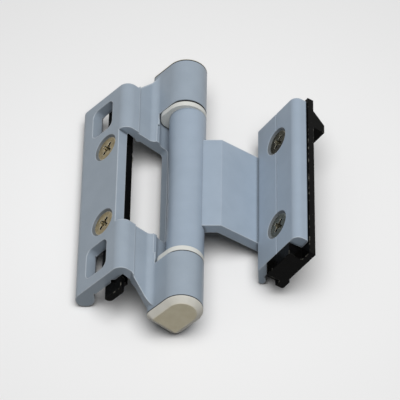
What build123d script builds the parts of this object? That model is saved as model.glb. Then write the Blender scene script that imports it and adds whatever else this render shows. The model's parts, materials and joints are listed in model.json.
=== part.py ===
from build123d import *
import os
from math import acos, asin, atan2, cos, degrees, hypot, radians, sin

# Two-part hinge for a rebated aluminium door, lying open on a table.
# Each leaf is a slice of an extruded aluminium section, machined afterwards.
# A leaf is drawn in its own section: first coordinate along its plate, second
# coordinate into the depth behind the plate, third along the hinge pin, with the
# pin axis at zero.  The finished part has +Y along the pin and +Z up.

# Hinge barrel, along the pin
knuckle_end = 70.0          # centre of the hinge to the outer end of a knuckle
knuckle_gap = 88.8          # clear length between the two knuckles
axial_clearance = 0.05      # barrel end to thrust flange
end_play = 0.6              # how far the barrel can slide between the thrust flanges
thrust_thickness = 2.5      # thrust flange of a knuckle bush
thrust_foot_gap = 0.7       # flat side of a thrust flange to the leaf's flange
thrust_corner_radius = 4.8

# Pin and bushes, radii
pin_radius = 4.5
pin_inset = 0.4             # pin end inside the mouth of a knuckle bush
pin_chamfer = 0.6
running_clearance = 0.05
barrel_radius = 8.15
barrel_bush_wall = 1.5
barrel_bush_length = 30.0
knuckle_bush_wall = 1.7
bush_stop = 2.6             # inner end of a knuckle bush to the plug of the cap

# Knuckle outline: a dome whose straight sides stand on the flange
dome_radius = 9.1
dome_along = -0.4           # dome centre from the pin axis
dome_depth = -0.9
knuckle_root_fillet = 3.0

# Frame leaf section
plate_face = -27.6          # depth of the screw face from the pin axis
plate_thickness = 4.9
nose_top = -9.7             # outer face of the nose, along the plate
nose_radius = 4.6
nose_lip_depth = -19.7      # where the nose steps down to the flange
flange_face = -10.4         # face that carries the barrel
flange_thickness = 3.6
flange_tip_radius = 1.2
foot_along = -36.95         # bead at the plate's lower edge
foot_radius = 4.1
foot_bevel_length = 5.75
groove_along = -19.8        # snap groove behind the plate
groove_depth = 1.3
rib_depth = -16.9           # locating rib inside the corner
rib_height = 0.8
rib_half_width = 1.4
rib_top_near = 0.6
rib_top_far = 0.4
corner_flare = 0.5          # inside corner between plate and flange
bevel_step = 0.9
foot_web_along = 2.2        # where the bevel meets the bead
foot_web_depth = 0.7
window_break = 0.2          # cut taken past the flange's hidden face

# Frame leaf, along the pin
plate_half = 54.7
mitre_depth = -15.5         # where the slanted end of the flange is that far
mitre_inset = 9.7           # from the knuckle's outer end
mitre_slope_along = 0.8     # rise of that end face over each section coordinate
mitre_slope_depth = 1.12
window_half = 27.4
window_shift = 0.4
window_floor_depth = -2.6
window_corner_depth = -20.5
window_radius = 1.5
pocket_gap = 0.4            # milled clearance round the thrust flanges and barrel
pocket_ridge_height = 2.4   # ridge left between nose and pocket, over the flange
pocket_ridge_low_height = 1.7
pocket_step_inset = 6.4

# Screws and slots of the frame leaf
frame_screw_along = -23.0
frame_screw_half_pitch = 22.2
frame_screw_shift = 0.6
slot_along = -25.8
slot_end_distance = 13.3    # slot's centre to the end of the plate
slot_shift = 0.5
slot_width = 13.2
slot_length = 16.4
slot_radius = 3.3

# Door leaf section
door_face = 29.3            # depth of the screw face from the pin axis
door_plate_thickness = 4.4
door_nose_top = 40.0
door_nose_radius = 3.4
door_lip_drop = 6.6
door_lip_thickness = 5.2
door_foot_along = 6.2
door_foot_drop = 6.7
door_foot_radius = 1.0
door_foot_width = 2.6
door_foot_slope = 2.0
arm_bend = 54.8             # degrees between the arm's first run and the plate
arm_offset = 4.3            # upper face of the arm from the pin axis
arm_along = 12.3            # upper face of the arm's second run
arm_thickness = 4.6
arm_side_gap = 2.0          # arm to the end of the frame leaf's window
door_plate_half = 41.3
door_screw_along = 25.9
door_screw_half_pitch = 24.75
door_line_width = 0.8       # shallow drilling line on the screw face
door_line_depth = 0.25

# Countersunk screws
screw_radius = 3.0          # over the thread
screw_neck_radius = 2.65    # plain shank between head and thread
screw_hole_radius = 3.3
screw_head_radius = 5.8
countersink_radius = 6.8
screw_tip_chamfer = 0.8
frame_screw_length = 13.2
door_screw_length = 16.0
recess_span = 6.4
recess_width = 1.5
recess_core_radius = 1.75   # where the four wings of the recess meet
recess_core_floor = 0.8
recess_depth = 2.4
recess_wall = 0.4           # straight part of the recess under the head face
drill_depth = 50.0

# Packers behind the plates
frame_packer_thickness = 5.6
frame_packer_corner_gap = 2.8   # packer to the flange's inner face
frame_packer_width = 10.7
frame_packer_overhang = 0.3
frame_packer_setback = 2.7
tab_corner_gap = 0.6        # tab that sticks out past the near end of the plate
tab_width = 10.1
tab_thickness = 2.9
tab_length = 6.6
tab_root = 4.7
tab_radius = 1.8
door_packer_thickness = 5.3
door_packer_rise = 0.4      # packer's edge past the top of the nose
door_packer_foot_gap = 0.7  # packer to the back of the arm
door_packer_overhang = 2.3
door_block_overhang = 6.7
door_block_step = 6.2
packer_gap = 0.1
thread_gap = 0.3            # packer to the start of a screw's thread
lug_height = 5.8
lug_inset = 4.0             # foot of a lug's ramp to the end of the door plate
lug_ramp_length = 5.8
lug_flat_length = 4.5
lug_width = 8.4
heel_inset = 2.5            # boss on the packer's near end
heel_height = 1.2
heel_step = 2.9
heel_width = 5.6
heel_length = 5.0
heel_radius = 1.0

# End caps
cap_thickness = 2.4
cap_bevel = 2.7
cap_rim = 0.3
cap_joint = 0.4             # chamfer of the knuckle where it meets the cap
cap_plug_length = 5.0
cap_corner_radius = 3.1

# Worked out from the sizes above
plate_back = plate_face + plate_thickness
flange_back = flange_face - flange_thickness
flange_tip = dome_depth + dome_radius
foot_depth = plate_face + foot_radius
foot_bevel_along = foot_along + foot_bevel_length
slot_centre = plate_half - slot_end_distance
thrust_base = flange_face + thrust_foot_gap
knuckle_start = knuckle_gap / 2
pocket_step = knuckle_start - pocket_step_inset
mitre_point = (flange_face, mitre_depth, knuckle_end - mitre_inset)
barrel_length = knuckle_gap - 2 * (thrust_thickness + axial_clearance) - end_play
door_shift = -end_play / 2  # the door half hangs against the lower knuckle
barrel_bush_radius = pin_radius + barrel_bush_wall
knuckle_bush_radius = pin_radius + knuckle_bush_wall
knuckle_bush_depth = knuckle_end - knuckle_start - cap_plug_length - bush_stop
pin_half_length = knuckle_start + knuckle_bush_depth - pin_inset
arm_half = window_half - arm_side_gap
door_back = door_face + door_plate_thickness
door_lip_depth = door_face + door_lip_drop
door_foot_depth = door_face + door_foot_drop
frame_packer_top = flange_back - frame_packer_corner_gap
frame_packer_bottom = frame_packer_top - frame_packer_width
frame_packer_end = plate_half + frame_packer_overhang
tab_top = flange_back - tab_corner_gap
tab_bottom = tab_top - tab_width
door_packer_back = door_back + door_packer_thickness
door_packer_top = door_nose_top + door_packer_rise
door_packer_bottom = arm_along + door_packer_foot_gap
door_block_end = door_plate_half + door_block_overhang
door_block_bottom = arm_along + door_block_step
lug_end = door_plate_half - lug_inset
lug_ramp_start = lug_end - lug_ramp_length
lug_start = lug_ramp_start - lug_flat_length
frame_grip = plate_thickness + frame_packer_thickness + thread_gap
door_grip = door_packer_back - door_face + thread_gap
reach = 200.0               # longer than anything in the hinge
overlap = 1.0               # how far joined or cut shapes run into each other


def slab(along, depth, axial):
    """Block between two values in each section coordinate."""
    size = [high - low for low, high in (along, depth, axial)]
    middle = [(high + low) / 2 for low, high in (along, depth, axial)]
    return Pos(*middle) * Box(*size)


def outline(points):
    return make_face(Polyline(points, close=True))


def round_corner(sketch, corner, radius):
    """Fillet the sketch corner nearest to a point."""
    nearest = sketch.vertices().sort_by_distance(Vector(*corner))[0]
    return fillet(nearest, radius)


def both_ends(shape):
    """A shape and its mirror image at the other end of the pin."""
    return [shape, shape.mirror(Plane.XY)]


def axial_hole(radius, low, high):
    return Pos(0, 0, (low + high) / 2) * Cylinder(radius, high - low)


def screw_axis(along, face, axial):
    """Plane on a screw face with its normal into the depth of the leaf."""
    return Plane(origin=(along, face, axial), x_dir=(1, 0, 0), z_dir=(0, 1, 0))


def countersunk_hole(along, face, axial):
    cone_height = countersink_radius - screw_hole_radius
    profile = outline([
        (0, -overlap), (countersink_radius, -overlap), (countersink_radius, 0),
        (screw_hole_radius, cone_height), (screw_hole_radius, drill_depth), (0, drill_depth)])
    tool = revolve(Plane.XZ * profile, Axis.Z)
    return screw_axis(along, face, axial) * tool


def clearance_hole(along, face, axial):
    tool = Pos(0, 0, drill_depth / 2) * Cylinder(screw_hole_radius, drill_depth)
    return screw_axis(along, face, axial) * tool


def countersunk_screw(along, face, axial, length, grip):
    """Screw whose head seats on the countersink, threaded beyond what it grips."""
    seat = countersink_radius - screw_head_radius
    neck = seat + screw_head_radius - screw_neck_radius
    thread = grip + screw_radius - screw_neck_radius
    end = seat + length
    profile = outline([
        (0, seat), (screw_head_radius, seat), (screw_neck_radius, neck),
        (screw_neck_radius, grip), (screw_radius, thread),
        (screw_radius, end - screw_tip_chamfer), (screw_radius - screw_tip_chamfer, end), (0, end)])
    body = revolve(Plane.XZ * profile, Axis.Z)
    for turn in (0, 90):
        blade = outline([
            (-recess_span / 2, seat - overlap), (recess_span / 2, seat - overlap),
            (recess_span / 2, seat + recess_wall), (recess_width, seat + recess_depth),
            (-recess_width, seat + recess_depth), (-recess_span / 2, seat + recess_wall)])
        cutter = extrude(Plane.XZ * blade, recess_width / 2, both=True)
        body -= Rot(0, 0, 45 + turn) * cutter
    core = Cone(recess_core_radius, recess_core_floor, recess_depth)
    body -= Pos(0, 0, seat + recess_depth / 2) * core
    return screw_axis(along, face, axial) * body


def knuckle_sketch(base, shrink=0.0):
    """Dome with straight sides down to a base line on the flange."""
    radius = dome_radius - shrink
    dome = Pos(dome_along, dome_depth) * Circle(radius)
    stem = Pos((base + dome_along) / 2, dome_depth) * Rectangle(dome_along - base, 2 * radius)
    return dome + stem


def thrust_sketch(grow=0.0):
    """Outline of a thrust flange: the knuckle's dome on a rounded foot."""
    sketch = knuckle_sketch(thrust_base - grow, -grow)
    for side in (-1, 1):
        corner = (thrust_base - grow, dome_depth + side * (dome_radius + grow))
        sketch = round_corner(sketch, corner, thrust_corner_radius + grow)
    return sketch


def frame_section():
    """Plate, nose and flange of the frame leaf."""
    sketch = outline([
        (foot_along, plate_face), (nose_top, plate_face), (nose_top, nose_lip_depth),
        (flange_face, nose_lip_depth), (flange_face, flange_tip), (flange_back, flange_tip),
        (flange_back, rib_depth + rib_half_width), (flange_back - rib_height, rib_depth + rib_top_near),
        (flange_back - rib_height, rib_depth - rib_top_far), (flange_back, rib_depth - rib_half_width),
        (flange_back + corner_flare, plate_back),
        (groove_along + groove_depth, plate_back), (groove_along, plate_back - groove_depth),
        (groove_along - groove_depth, plate_back), (foot_bevel_along, plate_back),
        (foot_bevel_along, plate_back - bevel_step),
        (foot_along + foot_web_along, foot_depth + foot_radius - foot_web_depth),
        (foot_along, foot_depth + foot_radius)])
    sketch = round_corner(sketch, (nose_top, plate_face), nose_radius)
    sketch = round_corner(sketch, (flange_back, flange_tip), flange_tip_radius)
    bead = Pos(foot_along, foot_depth) * Circle(foot_radius)
    return sketch + bead


def knuckle_root_section():
    """Knuckle outline with the hollow fillet that joins it to the flange."""
    side = dome_depth - dome_radius
    strip = outline([
        (flange_back, nose_lip_depth), (flange_face, nose_lip_depth),
        (flange_face, side + overlap), (flange_back, side + overlap)])
    return round_corner(strip + knuckle_sketch(flange_back), (flange_face, side), knuckle_root_fillet)


def make_frame_leaf():
    leaf = extrude(frame_section(), knuckle_end, both=True)
    leaf += extrude(knuckle_root_section(), knuckle_end, both=True)
    beyond = Plane(origin=mitre_point, z_dir=(-mitre_slope_along, -mitre_slope_depth, 1))
    mitre = beyond * Pos(0, 0, reach / 2) * Box(reach, reach, reach)
    mitre &= slab((-reach, reach), (-reach, reach), (plate_half, reach))
    for side in both_ends(mitre):
        leaf -= side
    knuckle_outline = round_corner(
        knuckle_sketch(flange_back), (flange_back, flange_tip), flange_tip_radius)
    knuckle_outline = round_corner(
        knuckle_outline, (flange_back, dome_depth - dome_radius), cap_corner_radius)
    knuckle = Pos(0, 0, knuckle_start) * extrude(knuckle_outline, knuckle_end - knuckle_start)
    for side in both_ends(knuckle):
        leaf += side
    length = (window_shift - window_half, window_shift + window_half)
    window = slab((flange_back - rib_height - window_break, reach),
                  (window_corner_depth, window_floor_depth), length)
    corners = window.edges().filter_by(Axis.X).group_by(Axis.Y)[-1]
    leaf -= fillet(corners, window_radius)
    leaf -= slab((flange_back - window_break, reach), (-reach, window_corner_depth), length)
    leaf -= extrude(thrust_sketch(pocket_gap), knuckle_start, both=True)
    ridge = flange_face + pocket_ridge_height
    leaf -= slab((ridge, reach), (-reach, reach), (-knuckle_start, knuckle_start))
    ridge = flange_face + pocket_ridge_low_height
    leaf -= slab((ridge, reach), (nose_lip_depth, reach), (-pocket_step, pocket_step))
    ends = leaf.faces().filter_by(GeomType.PLANE).sort_by(Axis.Z)
    leaf = chamfer(ends[0].outer_wire().edges() + ends[-1].outer_wire().edges(), cap_joint)
    leaf -= Cylinder(knuckle_bush_radius, reach)
    slot = Plane.XZ * RectangleRounded(slot_width, slot_length, slot_radius)
    for end in (-1, 1):
        leaf -= countersunk_hole(frame_screw_along, plate_face, frame_screw_place(end))
        centre = slot_shift + end * slot_centre
        leaf -= Pos(slot_along, plate_face, centre) * extrude(slot, foot_radius * 2, both=True)
    return leaf


def frame_screw_place(end):
    return frame_screw_shift + end * frame_screw_half_pitch


def door_section():
    """Plate of the door leaf with its foot and nose lip."""
    sketch = outline([
        (arm_along, door_face), (door_nose_top, door_face), (door_nose_top, door_lip_depth),
        (door_nose_top - door_lip_thickness, door_lip_depth),
        (door_nose_top - door_lip_thickness, door_back),
        (door_foot_along + door_foot_width + door_foot_slope, door_back),
        (door_foot_along + door_foot_width, door_foot_depth), (door_foot_along, door_foot_depth),
        (door_foot_along, door_foot_depth - 2 * door_foot_radius)])
    sketch = round_corner(sketch, (door_nose_top, door_face), door_nose_radius)
    sketch = round_corner(sketch, (door_nose_top, door_lip_depth), door_foot_radius)
    return round_corner(sketch, (door_foot_along, door_foot_depth), door_foot_radius)


def arm_section():
    """Cranked arm: a run off the barrel, then a run square to the plate."""
    run = (cos(radians(arm_bend)), sin(radians(arm_bend)))
    across = (run[1], -run[0])

    def bend(offset, along):
        distance = (along - offset * across[0]) / run[0]
        return along, distance * run[1] + offset * across[1]

    under = arm_offset - arm_thickness
    return outline([
        (arm_offset * across[0], arm_offset * across[1]), bend(arm_offset, arm_along),
        (arm_along, door_back), (arm_along - arm_thickness, door_back),
        bend(under, arm_along - arm_thickness), (under * across[0], under * across[1])])


def make_door_leaf():
    leaf = extrude(door_section(), door_plate_half, both=True)
    leaf += extrude(arm_section(), arm_half, both=True)
    leaf += Cylinder(barrel_radius, barrel_length)
    leaf -= Cylinder(barrel_bush_radius, reach)
    line = outline([
        (door_screw_along - door_line_width / 2, door_face - overlap),
        (door_screw_along + door_line_width / 2, door_face - overlap),
        (door_screw_along + door_line_width / 2, door_face),
        (door_screw_along, door_face + door_line_depth),
        (door_screw_along - door_line_width / 2, door_face)])
    leaf -= extrude(line, reach, both=True)
    for end in (-1, 1):
        leaf -= countersunk_hole(door_screw_along, door_face, end * door_screw_half_pitch)
    return leaf


def make_frame_packer():
    top = plate_back + frame_packer_thickness
    packer = slab((frame_packer_bottom, frame_packer_top), (plate_back, top),
                  (-frame_packer_end, plate_half - frame_packer_setback))
    packer -= slab((-reach, tab_bottom), (-reach, reach), (-reach, tab_root - plate_half))
    tab_end = frame_packer_end + tab_length
    tab = slab((tab_bottom, tab_top), (plate_back, plate_back + tab_thickness),
               (-tab_end, -frame_packer_end))
    tab = fillet(tab.edges().filter_by(Axis.Z).group_by(Axis.Y)[-1], tab_radius)
    packer += tab
    for end in (-1, 1):
        packer -= clearance_hole(frame_screw_along, plate_face, frame_screw_place(end))
    return packer


def make_door_packer():
    low = door_nose_top - door_lip_thickness - packer_gap
    packer_end = door_plate_half + door_packer_overhang
    packer = slab((door_packer_bottom, low), (door_back, door_packer_back),
                  (-door_block_end, packer_end))
    packer += slab((low - overlap, door_packer_top), (door_lip_depth + packer_gap, door_packer_back),
                   (-door_block_end, packer_end))
    packer += slab((door_block_bottom, low), (door_face + packer_gap, door_packer_back),
                   (-door_block_end, -door_plate_half - packer_gap))
    ramp = outline([
        (door_packer_back - overlap, lug_start), (door_packer_back + lug_height, lug_start),
        (door_packer_back + lug_height, lug_ramp_start), (door_packer_back, lug_end),
        (door_packer_back - overlap, lug_end)])
    packer += Pos(door_packer_top - lug_width, 0, 0) * extrude(Plane.YZ * ramp, lug_width)
    packer -= slab((-reach, door_block_bottom), (-reach, reach), (-reach, heel_length - door_block_end))
    heel_bottom = arm_along + heel_step
    heel = slab((heel_bottom, heel_bottom + heel_width),
                (door_back + heel_inset, door_packer_back + heel_height),
                (-door_block_end, heel_length - door_block_end))
    packer += fillet(heel.edges().filter_by(Axis.Z).group_by(Axis.Y)[-1], heel_radius)
    for end in (-1, 1):
        packer -= clearance_hole(door_screw_along, door_face, end * door_screw_half_pitch)
    return packer


def make_pin():
    pin = Cylinder(pin_radius, 2 * pin_half_length)
    return chamfer(pin.edges().filter_by(GeomType.CIRCLE), pin_chamfer)


def make_knuckle_bush(outer_face):
    """Sleeve in the upper knuckle with a thrust flange beside the barrel."""
    flange = extrude(thrust_sketch(), thrust_thickness)
    sleeve = axial_hole(knuckle_bush_radius, 0, thrust_thickness + knuckle_bush_depth)
    bush = flange + sleeve
    bush -= axial_hole(pin_radius, -overlap, thrust_thickness + knuckle_bush_depth + overlap)
    return Pos(0, 0, outer_face) * bush


def make_barrel_bush(start):
    return axial_hole(barrel_bush_radius, start, start + barrel_bush_length) - axial_hole(
        pin_radius + running_clearance, start - overlap, start + barrel_bush_length + overlap)


def make_end_cap():
    base = knuckle_sketch(flange_back)
    for depth in (flange_tip, dome_depth - dome_radius):
        base = round_corner(base, (flange_back, depth), cap_corner_radius)
    cap = extrude(base, cap_thickness)
    rim = cap.faces().sort_by(Axis.Z)[-1].edges()
    cap = chamfer(rim, cap_thickness - cap_rim, cap_bevel)
    cap += axial_hole(knuckle_bush_radius, -cap_plug_length, cap_thickness / 2)
    return Pos(0, 0, knuckle_end) * cap


# How the open hinge lies: the frame leaf on its foot bead and flange tip,
# the door leaf on the pin and its own foot
tip_along = flange_back + flange_tip_radius
tip_depth = flange_tip - flange_tip_radius
rise = tip_along - foot_along
run = tip_depth - foot_depth
frame_lean = degrees(acos((foot_radius - flange_tip_radius) / hypot(rise, run)) - atan2(rise, run))
floor = (foot_along * sin(radians(frame_lean)) - foot_depth * cos(radians(frame_lean)) - foot_radius)
heel_along = door_foot_along + door_foot_radius
heel_depth = door_foot_depth - door_foot_radius
door_lean = degrees(
    atan2(heel_depth, heel_along)
    + asin((floor + door_foot_radius) / hypot(heel_along, heel_depth)))


def leaf_frame(lean, shift=0.0):
    """Where a leaf's section coordinates lie in the finished part."""
    return Plane(
        origin=(0, shift, 0), x_dir=(cos(radians(lean)), 0, sin(radians(lean))), z_dir=(0, 1, 0))


frame_side = leaf_frame(frame_lean)
door_side = leaf_frame(door_lean, door_shift)

upper_bush = make_knuckle_bush(barrel_length / 2 + door_shift + axial_clearance)
lower_bush = make_knuckle_bush(knuckle_start - thrust_thickness).mirror(Plane.XY)
upper_cap = make_end_cap()

nodes = {
    "frame_leaf": frame_side * make_frame_leaf(),
    "frame_packer": frame_side * make_frame_packer(),
    "hinge_pin": frame_side * make_pin(),
    "knuckle_bush_upper": frame_side * upper_bush,
    "knuckle_bush_lower": frame_side * lower_bush,
    "end_cap_upper": frame_side * upper_cap,
    "end_cap_lower": frame_side * upper_cap.mirror(Plane.XY),
    "door_leaf": door_side * make_door_leaf(),
    "door_packer": door_side * make_door_packer(),
}
for name, end in (("upper", 1), ("lower", -1)):
    nodes[f"frame_screw_{name}"] = frame_side * countersunk_screw(
        frame_screw_along, plate_face, frame_screw_place(end), frame_screw_length, frame_grip)
    nodes[f"door_screw_{name}"] = door_side * countersunk_screw(
        door_screw_along, door_face, end * door_screw_half_pitch, door_screw_length, door_grip)
    start = barrel_length / 2 - barrel_bush_length if end > 0 else -barrel_length / 2
    nodes[f"barrel_bush_{name}"] = door_side * make_barrel_bush(start)

# Origin at the middle of the table surface under the hinge
box = Compound(list(nodes.values())).bounding_box()
home = Pos(-(box.min.X + box.max.X) / 2, -(box.min.Y + box.max.Y) / 2, -box.min.Z)
print(f"frame lean {frame_lean:.3f}, door lean {door_lean:.3f}, pin at", home.position)

os.makedirs("parts", exist_ok=True)
for name, shape in nodes.items():
    export_step(home * shape, f"parts/{name}.step")
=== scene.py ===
import json
import math

import bpy
from mathutils import Matrix, Vector


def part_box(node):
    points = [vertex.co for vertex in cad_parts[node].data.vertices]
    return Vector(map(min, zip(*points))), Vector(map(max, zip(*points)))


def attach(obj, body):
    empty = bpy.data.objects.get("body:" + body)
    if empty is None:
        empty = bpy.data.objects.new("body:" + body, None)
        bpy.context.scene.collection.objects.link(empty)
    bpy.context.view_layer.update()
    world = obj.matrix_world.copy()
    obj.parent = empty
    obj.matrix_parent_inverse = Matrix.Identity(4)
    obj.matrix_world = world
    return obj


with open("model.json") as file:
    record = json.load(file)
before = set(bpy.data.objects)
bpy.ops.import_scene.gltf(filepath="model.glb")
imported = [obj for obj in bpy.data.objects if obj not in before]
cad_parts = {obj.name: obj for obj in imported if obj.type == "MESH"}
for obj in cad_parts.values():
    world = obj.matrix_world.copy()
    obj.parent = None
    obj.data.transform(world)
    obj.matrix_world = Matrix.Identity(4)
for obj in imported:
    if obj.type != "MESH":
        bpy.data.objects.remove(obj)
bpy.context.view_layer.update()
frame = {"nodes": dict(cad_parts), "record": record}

MM = 0.001
PIN = Vector(frame["record"]["behaviour"]["joints"][0]["pos_m"]) / MM
ENDS = ("upper", "lower")
ALONG_PIN = (0.0, 1.0, 0.0)
scene = bpy.context.scene
scene.view_settings.view_transform = "Standard"

# Camera, from a fit to the photograph's edges
CAMERA_ELEVATION = math.radians(46.895)
CAMERA_HEADING = math.radians(-1.393)
CAMERA_ROLL = math.radians(-0.879)
CAMERA_SHIFT = (-7.945, 1.134)             # mm across and up in the camera's own axes
CAMERA_DISTANCE = 1415.74                  # mm
FOCAL_PIXELS = 3259.63
PHOTO_PIXELS = 400.0
SENSOR_WIDTH = 36.0                        # mm
NEAREST_SEEN = 0.01                        # m
FIT_PIN = Vector((2.137, 0.0, 5.741))      # pin axis in the fit's own frame, mm

# Floor and light
AMBIENT = 0.22                             # world light on things; seen or mirrored, the world is white
KEY_DIRECTION = (0.12, -0.22, 1.0)
KEY_HALF_ANGLE = math.radians(27)
KEY_LEVEL = 0.81
LAMP_DISTANCE = 3.0                        # m
FLOOR_HALF = 6.0                           # m
LIGHT_POOL_FADE = (70.0, 170.0)                 # from the floor's middle, where the painted pool of light near the object fades to the far paper, mm
CONTACT_SHADOW_REACH = 9.0                        # how far round the object the painted contact shadow on the floor reaches, mm

# Places where painted shade or a finish changes, mm except the last
SEAT_SHADE_FADE = (6.5, 6.8)                     # from a screw's axis, where the painted shade in the countersink ends
KNUCKLE_START = 44.4                       # from the hinge's middle to the inner end of a knuckle
KNUCKLE_FADE = (9.8, 10.0)                 # from the pin's axis, where the painted shade line at the bush ends
JOINT_SHADE_WIDTH = 0.65                          # width of the painted shade line where a knuckle meets its bush or its cap
CAP_SHADE_FADE = 0.13                       # soft side of the painted shade line at the cap
BUSH_SHADE_FADE = 0.1                       # soft side of the painted shade line at the bush
CAP_FADE = 1.5                             # radius over which a cap's rim turns into its face
CAP_FACE_NORMAL = (0.86, 0.99)             # share of the normal along the pin, on the rim and on the face

# Threads on the bare ends of the screws, mm
THREAD_PITCH = 1.0
THREAD_STEPS = 32                          # per turn
THREAD_RUNOUT = 8                          # steps over which an end of the ridge thins out
THREAD_RIDGE = ((-0.46, -0.06), (-0.07, 0.17), (0.07, 0.17), (0.46, -0.06))      # share of pitch, height


def srgb(r, g, b):
    """Linear colour of an 8-bit screen colour."""
    def linear(v):
        v = v / 255.0
        return v / 12.92 if v <= 0.04045 else ((v + 0.055) / 1.055) ** 2.4
    return (linear(r), linear(g), linear(b), 1.0)


# Colours that drift between a darker and a lighter tone
FRAME_COAT = srgb(147, 159, 171), srgb(151, 163, 175)
DOOR_COAT = srgb(151, 165, 180), srgb(155, 169, 184)
BLACK = srgb(5, 5, 4), srgb(9, 8, 8)
CREAM = srgb(206, 207, 202), srgb(212, 213, 208)
CAP_RIM = srgb(208, 206, 197), srgb(214, 212, 204)
CAP_FACE = srgb(208, 200, 174), srgb(215, 208, 184)
BRASS = srgb(118, 106, 78), srgb(152, 139, 106)
BRONZE = srgb(82, 80, 65), srgb(108, 105, 89)
GROUND_STEEL = srgb(196, 196, 198), srgb(210, 210, 212)

# Painted light: highlights and glints along edges, shade in crevices, countersinks and joints, and pale
# specks that are partly dust and partly painted glints
COAT_EDGE_HIGHLIGHT = srgb(206, 214, 220)
COAT_CREVICE_SHADE = srgb(66, 73, 80)
COAT_SEAT_SHADE = srgb(88, 93, 96)
COAT_JOINT_SHADE = srgb(42, 46, 50)
BLACK_EDGE_GLINT = srgb(120, 118, 110)
DUST_AND_GLINT = srgb(190, 188, 180)
CAP_CREVICE_SHADE = srgb(70, 66, 58)
STEEL_EDGE_HIGHLIGHT = srgb(226, 222, 208)
STEEL_CREVICE_SHADE = srgb(10, 9, 6)

# Colours of the floor, with a painted pool of light near the object and a painted contact shadow
PAPER_WITH_POOL = srgb(239, 239, 239), srgb(228, 228, 228)      # near the object, lighter as a painted pool of light; far from it
BOUNCE = srgb(110, 106, 98)                           # what the floor throws back on the object
# painted contact shadow on the floor next to the object
CONTACT_SHADOW = srgb(30, 28, 25)


def place_camera():
    ce, se = math.cos(CAMERA_ELEVATION), math.sin(CAMERA_ELEVATION)
    cp, sp = math.cos(CAMERA_HEADING), math.sin(CAMERA_HEADING)
    forward = Vector((sp * ce, cp * ce, -se))
    level = Vector((cp, -sp, 0.0))
    upright = level.cross(forward)
    cr, sr = math.cos(CAMERA_ROLL), math.sin(CAMERA_ROLL)
    right = level * cr + upright * sr
    up = upright * cr - level * sr
    position = -(right * CAMERA_SHIFT[0] + up * CAMERA_SHIFT[1] + forward * CAMERA_DISTANCE)
    position = (position + PIN - FIT_PIN) * MM
    camera = bpy.data.objects.new("camera", bpy.data.cameras.new("camera"))
    scene.collection.objects.link(camera)
    turn = Matrix((right, up, -forward)).transposed().to_4x4()
    camera.matrix_world = Matrix.Translation(position) @ turn
    camera.data.sensor_width = SENSOR_WIDTH
    camera.data.lens = FOCAL_PIXELS / PHOTO_PIXELS * SENSOR_WIDTH
    camera.data.clip_start = NEAREST_SEEN
    scene.camera = camera


# Building blocks of the materials
class Nodes:
    """Short calls for building a node tree."""

    def __init__(self, tree):
        self.tree = tree

    def add(self, kind, **settings):
        node = self.tree.nodes.new(kind)
        for key, value in settings.items():
            setattr(node, key, value)
        return node

    def put(self, value, socket):
        """Links an output to the socket, or sets the socket to a plain value."""
        if isinstance(value, bpy.types.NodeSocket):
            self.tree.links.new(value, socket)
        else:
            socket.default_value = value

    def number_math(self, operation, *values):
        node = self.add("ShaderNodeMath", operation=operation)
        for value, socket in zip(values, node.inputs):
            self.put(value, socket)
        return node.outputs[0]

    def vector_math(self, operation, *values, output="Vector"):
        node = self.add("ShaderNodeVectorMath", operation=operation)
        for value, socket in zip(values, node.inputs):
            self.put(value, socket)
        return node.outputs[output]

    def ramp(self, value, low, high, first, last):
        """first where the value is low, last where it is high."""
        node = self.add("ShaderNodeMapRange")
        self.put(value, node.inputs["Value"])
        for key, number in (("From Min", low), ("From Max", high), ("To Min", first), ("To Max", last)):
            node.inputs[key].default_value = number
        return node.outputs["Result"]

    def seen(self):
        """1 where the eye, a reflection or glass looks, 0 for the light that falls on things."""
        path = self.add("ShaderNodeLightPath").outputs
        mirrored = self.number_math("MAXIMUM", path["Is Camera Ray"], path["Is Glossy Ray"])
        return self.number_math("MAXIMUM", mirrored, path["Is Transmission Ray"])


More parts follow.
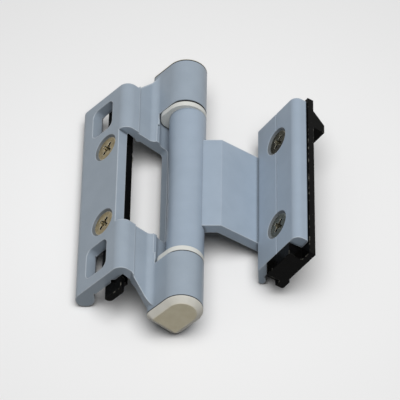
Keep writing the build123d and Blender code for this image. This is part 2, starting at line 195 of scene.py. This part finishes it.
class Surface(Nodes):
    """A material with one shader. Sizes given to it are in mm, and what its nodes measure is in metres."""

    BEVEL_SAMPLES = 6
    OCCLUSION_SAMPLES = 8
    EDGE_SHARE = (0.75, 0.95)      # open share of the directions inwards, at an outer edge and on a flat
    NOISE_SPREAD = (0.3, 0.7)      # range that most of a noise keeps to
    FIRST_COLOUR = 6               # sockets of a Mix node, whose names repeat
    LAST_COLOUR = 7

    def __init__(self, name):
        self.material = bpy.data.materials.new(name)
        self.material.use_nodes = True
        super().__init__(self.material.node_tree)
        self.tree.nodes.clear()
        output = self.add("ShaderNodeOutputMaterial")
        self.shader = self.add("ShaderNodeBsdfPrincipled")
        self.put(self.shader.outputs[0], output.inputs[0])
        self.place = self.add("ShaderNodeTexCoord").outputs["Object"]

    def set(self, **values):
        for key, value in values.items():
            self.put(value, self.shader.inputs[key.replace("_", " ")])

    def mix(self, factor, first, last):
        """Mixes two colours, each a colour or a socket."""
        node = self.add("ShaderNodeMix", data_type="RGBA")
        self.put(factor, node.inputs["Factor"])
        self.put(first, node.inputs[self.FIRST_COLOUR])
        self.put(last, node.inputs[self.LAST_COLOUR])
        return node.outputs[2]

    def noise(self, size, detail=2.0):
        """Noise whose features are about this size."""
        node = self.add("ShaderNodeTexNoise")
        self.put(self.place, node.inputs["Vector"])
        node.inputs["Scale"].default_value = 1.0 / (size * MM)
        node.inputs["Detail"].default_value = detail
        return node.outputs["Fac"]

    def cloud(self, size, detail=3.0, low=0.35, high=0.65):
        """Soft clouds of this size that run from 0 to 1."""
        return self.ramp(self.noise(size, detail), low, high, 0.0, 1.0)

    def drift(self, size, least, most):
        """A number that drifts between two values over this size."""
        return self.ramp(self.noise(size), *self.NOISE_SPREAD, least, most)

    def inside(self, distance, near, far):
        """1 where a measured distance is less than near, 0 where it is more than far."""
        return self.ramp(distance, near * MM, far * MM, 1.0, 0.0)

    def outside(self, distance, near, far):
        """0 where a measured distance is less than near, 1 where it is more than far."""
        return self.ramp(distance, near * MM, far * MM, 0.0, 1.0)

    def from_line(self, point, direction):
        """Distance from a line through a point, which is given in metres."""
        offset = self.vector_math("SUBTRACT", self.place, point)
        across = self.vector_math("CROSS_PRODUCT", offset, direction)
        return self.vector_math("LENGTH", across, output="Value")

    def size_along(self, axis_name, vector):
        """Size of one part of a vector, whatever its sign."""
        parts = self.add("ShaderNodeSeparateXYZ")
        self.put(vector, parts.inputs[0])
        return self.number_math("ABSOLUTE", parts.outputs[axis_name])

    def open_share(self, reach, closed, clear):
        """0 in a crevice, where other surfaces come closer than reach, and 1 in the open."""
        node = self.add("ShaderNodeAmbientOcclusion", samples=self.OCCLUSION_SAMPLES)
        node.inputs["Distance"].default_value = reach * MM
        return self.ramp(node.outputs["AO"], closed, clear, 0.0, 1.0)

    def sharp_edges(self, reach, strength):
        """strength along outer edges, 0 on flat or hollow surfaces."""
        node = self.add("ShaderNodeAmbientOcclusion", samples=self.OCCLUSION_SAMPLES, inside=True)
        node.inputs["Distance"].default_value = reach * MM
        return self.ramp(node.outputs["AO"], *self.EDGE_SHARE, strength, 0.0)

    def round_edges(self, radius):
        """Normal that shades every edge as if it had this radius."""
        node = self.add("ShaderNodeBevel", samples=self.BEVEL_SAMPLES)
        node.inputs["Radius"].default_value = radius * MM
        return node.outputs["Normal"]

    def bump(self, normal, height, strength, depth):
        node = self.add("ShaderNodeBump")
        self.put(height, node.inputs["Height"])
        self.put(normal, node.inputs["Normal"])
        node.inputs["Strength"].default_value = strength
        node.inputs["Distance"].default_value = depth * MM
        return node.outputs["Normal"]


# Materials
def joint_shade_lines(m):
    """Factors for the thin lines of painted shade in the gaps where a knuckle meets its bush and its cap.
    """
    along = m.size_along("Y", m.place)
    near_pin = m.inside(m.from_line(PIN * MM, ALONG_PIN), *KNUCKLE_FADE)
    past_start = m.outside(along, KNUCKLE_START - BUSH_SHADE_FADE, KNUCKLE_START)
    before_end = m.inside(along, KNUCKLE_START + JOINT_SHADE_WIDTH / 2, KNUCKLE_START + JOINT_SHADE_WIDTH)
    bush_shade = m.number_math("MULTIPLY", near_pin, m.number_math("MULTIPLY", before_end, past_start))
    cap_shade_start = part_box("frame_leaf")[1][1] / MM - JOINT_SHADE_WIDTH
    return bush_shade, m.outside(along, cap_shade_start, cap_shade_start + CAP_SHADE_FADE)


def powder_coat(name, tones, screws):
    """Satin paint, with painted shade in the countersinks, the crevices and the joints, and painted
    highlights along the edges.
    """
    m = Surface(name)
    tint = m.mix(m.cloud(9.0), *tones)
    # painted shade in the countersink round each screw head
    for mount in screws:
        seat_shade = m.inside(m.from_line(mount["pos_m"], mount["axis"]), *SEAT_SHADE_FADE)
        tint = m.mix(seat_shade, tint, COAT_SEAT_SHADE)
    # painted shade in crevices, where other surfaces come close
    tint = m.mix(m.open_share(reach=2.0, closed=0.40, clear=0.88), COAT_CREVICE_SHADE, tint)
    # painted highlights along the outer edges of the coat
    tint = m.mix(m.sharp_edges(reach=0.5, strength=0.45), tint, COAT_EDGE_HIGHLIGHT)
    # painted shade lines in the gaps where a knuckle meets its bush and its cap
    for line in joint_shade_lines(m):
        tint = m.mix(line, tint, COAT_JOINT_SHADE)
    normal = m.bump(m.round_edges(0.45), m.noise(1.8), strength=0.08, depth=0.05)
    normal = m.bump(normal, m.noise(0.5), strength=0.05, depth=0.02)
    rough = m.drift(4.0, least=0.34, most=0.42)
    m.set(Base_Color=tint, Roughness=rough, Specular_IOR_Level=0.3, Normal=normal)
    return m.material


def black_plastic():
    """Deep black with painted glints in patches along the edges, and a few pale specks that are partly
    dust and partly painted glints.
    """
    m = Surface("black_plastic")
    # painted glints in patches along the outer edges
    glint_patches = m.ramp(m.noise(2.2), low=0.55, high=0.72, first=0.0, last=0.8)
    edge_glints = m.number_math("MULTIPLY", m.sharp_edges(reach=0.45, strength=1.0), glint_patches)
    # pale specks, partly dust and partly painted glints
    specks = m.ramp(m.noise(0.7, detail=1.0), low=0.80, high=0.83, first=0.0, last=0.7)
    tint = m.mix(edge_glints, m.mix(m.cloud(3.0), *BLACK), BLACK_EDGE_GLINT)
    tint = m.mix(specks, tint, DUST_AND_GLINT)
    normal = m.bump(m.round_edges(0.6), m.noise(1.2, detail=3.0), strength=0.25, depth=0.10)
    rough = m.drift(2.0, least=0.12, most=0.24)
    m.set(Base_Color=tint, Roughness=rough, Specular_IOR_Level=0.04, Normal=normal)
    return m.material


def cream_plastic():
    m = Surface("cream_plastic")
    normal = m.bump(m.round_edges(0.3), m.noise(0.6, detail=3.0), strength=0.10, depth=0.03)
    rough = m.drift(2.0, least=0.42, most=0.52)
    m.set(Base_Color=m.mix(m.cloud(5.0), *CREAM), Roughness=rough, Normal=normal)
    return m.material


def cap_plastic():
    """Cream rim round a browner flat face."""
    m = Surface("cap_plastic")
    facing = m.size_along("Y", m.round_edges(CAP_FADE))
    face = m.ramp(facing, *CAP_FACE_NORMAL, 0.0, 1.0)
    cloud = m.cloud(4.0)
    tint = m.mix(face, m.mix(cloud, *CAP_RIM), m.mix(cloud, *CAP_FACE))
    # painted shade in crevices of the cap
    tint = m.mix(m.open_share(reach=1.2, closed=0.25, clear=0.7), CAP_CREVICE_SHADE, tint)
    normal = m.bump(m.round_edges(0.2), m.noise(0.6, detail=3.0), strength=0.10, depth=0.03)
    m.set(Base_Color=tint, Roughness=0.46, Normal=normal)
    return m.material


def plated_steel(name, tones, least, most):
    m = Surface(name)
    tint = m.mix(m.cloud(1.5, detail=4.0, low=0.3, high=0.7), *tones)
    # painted shade in crevices, darkest in the recess of a screw head
    tint = m.mix(m.open_share(reach=2.5, closed=0.50, clear=0.88), STEEL_CREVICE_SHADE, tint)
    # painted highlights along the outer edges
    tint = m.mix(m.sharp_edges(reach=0.35, strength=0.25), tint, STEEL_EDGE_HIGHLIGHT)
    normal = m.bump(m.round_edges(0.25), m.noise(0.25), strength=0.15, depth=0.02)
    m.set(Base_Color=tint, Metallic=1.0, Roughness=m.drift(1.0, least, most), Normal=normal)
    return m.material


def make_thread(name, mount, body, material):
    """Helical ridge round the length that the record's mount gives, thinning out at both ends."""
    centre = Vector(mount["pos_m"])
    axis = Vector(mount["axis"]).normalized()
    side = Vector(ALONG_PIN)
    across = axis.cross(side)
    radius = mount["dims"]["r_mm"]
    length = mount["dims"]["length_mm"] - THREAD_PITCH
    steps = round(length / THREAD_PITCH * THREAD_STEPS)
    width = len(THREAD_RIDGE)
    points = []
    for step in range(steps + 1):
        turn = 2 * math.pi * step / THREAD_STEPS
        outward = side * math.cos(turn) + across * math.sin(turn)
        along = length * (step / steps - 0.5)
        full = min(1.0, step / THREAD_RUNOUT, (steps - step) / THREAD_RUNOUT)
        for share, height in THREAD_RIDGE:
            offset = axis * (along + share * THREAD_PITCH)
            points.append(centre + (offset + outward * (radius + height * full)) * MM)
    faces = [tuple(range(width)), tuple(range(steps * width, (steps + 1) * width))[::-1]]
    for step in range(steps):
        for k in range(width):
            here, there = step * width + k, step * width + (k + 1) % width
            faces.append((here, here + width, there + width, there))
    mesh = bpy.data.meshes.new(name)
    mesh.from_pydata(points, [], faces)
    mesh.materials.append(material)
    ridge = bpy.data.objects.new(name, mesh)
    scene.collection.objects.link(ridge)
    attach(ridge, body)


def give(material, *names):
    for name in names:
        materials = frame["nodes"][name].data.materials
        materials.clear()
        materials.append(material)


def paint_half(half, tones, steel):
    """Coat of one leaf, and its two screws with their threads."""
    mounts = {mount["name"]: mount for mount in frame["record"]["mounts"]}
    screws = {end: mounts[f"{half}_screw_end_{end}"] for end in ENDS}
    give(powder_coat(f"{half}_coat", tones, screws.values()), f"{half}_leaf")
    for end, mount in screws.items():
        give(steel, f"{half}_screw_{end}")
        make_thread(f"{half}_thread_{end}", mount, f"{half}_half", steel)


def paint():
    brass = plated_steel("passivated_steel", BRASS, least=0.24, most=0.36)
    bronze = plated_steel("bronze_steel", BRONZE, least=0.20, most=0.32)
    paint_half("frame", FRAME_COAT, brass)
    paint_half("door", DOOR_COAT, bronze)
    give(black_plastic(), "frame_packer", "door_packer")
    give(cream_plastic(), *[f"{part}_{end}" for part in ("knuckle_bush", "barrel_bush") for end in ENDS])
    give(cap_plastic(), *[f"end_cap_{end}" for end in ENDS])
    give(plated_steel("ground_steel", GROUND_STEEL, least=0.16, most=0.28), "hinge_pin")


def make_floor():
    near, far = -FLOOR_HALF, FLOOR_HALF
    mesh = bpy.data.meshes.new("floor")
    mesh.from_pydata([(near, near, 0), (far, near, 0), (far, far, 0), (near, far, 0)], [], [(0, 1, 2, 3)])
    floor = bpy.data.objects.new("floor", mesh)
    scene.collection.objects.link(floor)
    m = Surface("floor")
    spread = m.vector_math("LENGTH", m.place, output="Value")
    # paper painted lighter near the object, as a pool of light
    paper_and_pool = m.mix(m.outside(spread, *LIGHT_POOL_FADE), *PAPER_WITH_POOL)
    paper_and_pool = m.mix(m.seen(), BOUNCE, paper_and_pool)
    # painted contact shadow where the object comes close to the floor
    tint = m.mix(m.open_share(CONTACT_SHADOW_REACH, closed=0.05, clear=0.55), CONTACT_SHADOW, paper_and_pool)
    m.set(Base_Color=tint, Roughness=0.9, Specular_IOR_Level=0.0)
    mesh.materials.append(m.material)


def make_lamp(name, direction, half_angle, strength):
    """Disk lamp that lights a facing white surface to the given level."""
    lamp = bpy.data.lights.new(name, "AREA")
    lamp.shape = "DISK"
    radius = LAMP_DISTANCE * math.tan(half_angle)
    lamp.size = 2 * radius
    lamp.energy = strength * math.pi ** 2 * radius ** 2 / math.sin(half_angle) ** 2
    item = bpy.data.objects.new(name, lamp)
    scene.collection.objects.link(item)
    item.location = Vector(direction).normalized() * LAMP_DISTANCE
    item.rotation_euler = (-item.location).to_track_quat("-Z", "Y").to_euler()


def light():
    world = bpy.data.worlds.new("world")
    scene.world = world
    world.use_nodes = True
    sky = Nodes(world.node_tree)
    level = sky.ramp(sky.seen(), 0.0, 1.0, AMBIENT, 1.0)
    background = world.node_tree.nodes["Background"]
    background.inputs["Color"].default_value = (1.0, 1.0, 1.0, 1.0)
    sky.put(level, background.inputs["Strength"])
    make_lamp("key", KEY_DIRECTION, KEY_HALF_ANGLE, KEY_LEVEL)


place_camera()
paint()
make_floor()
light()
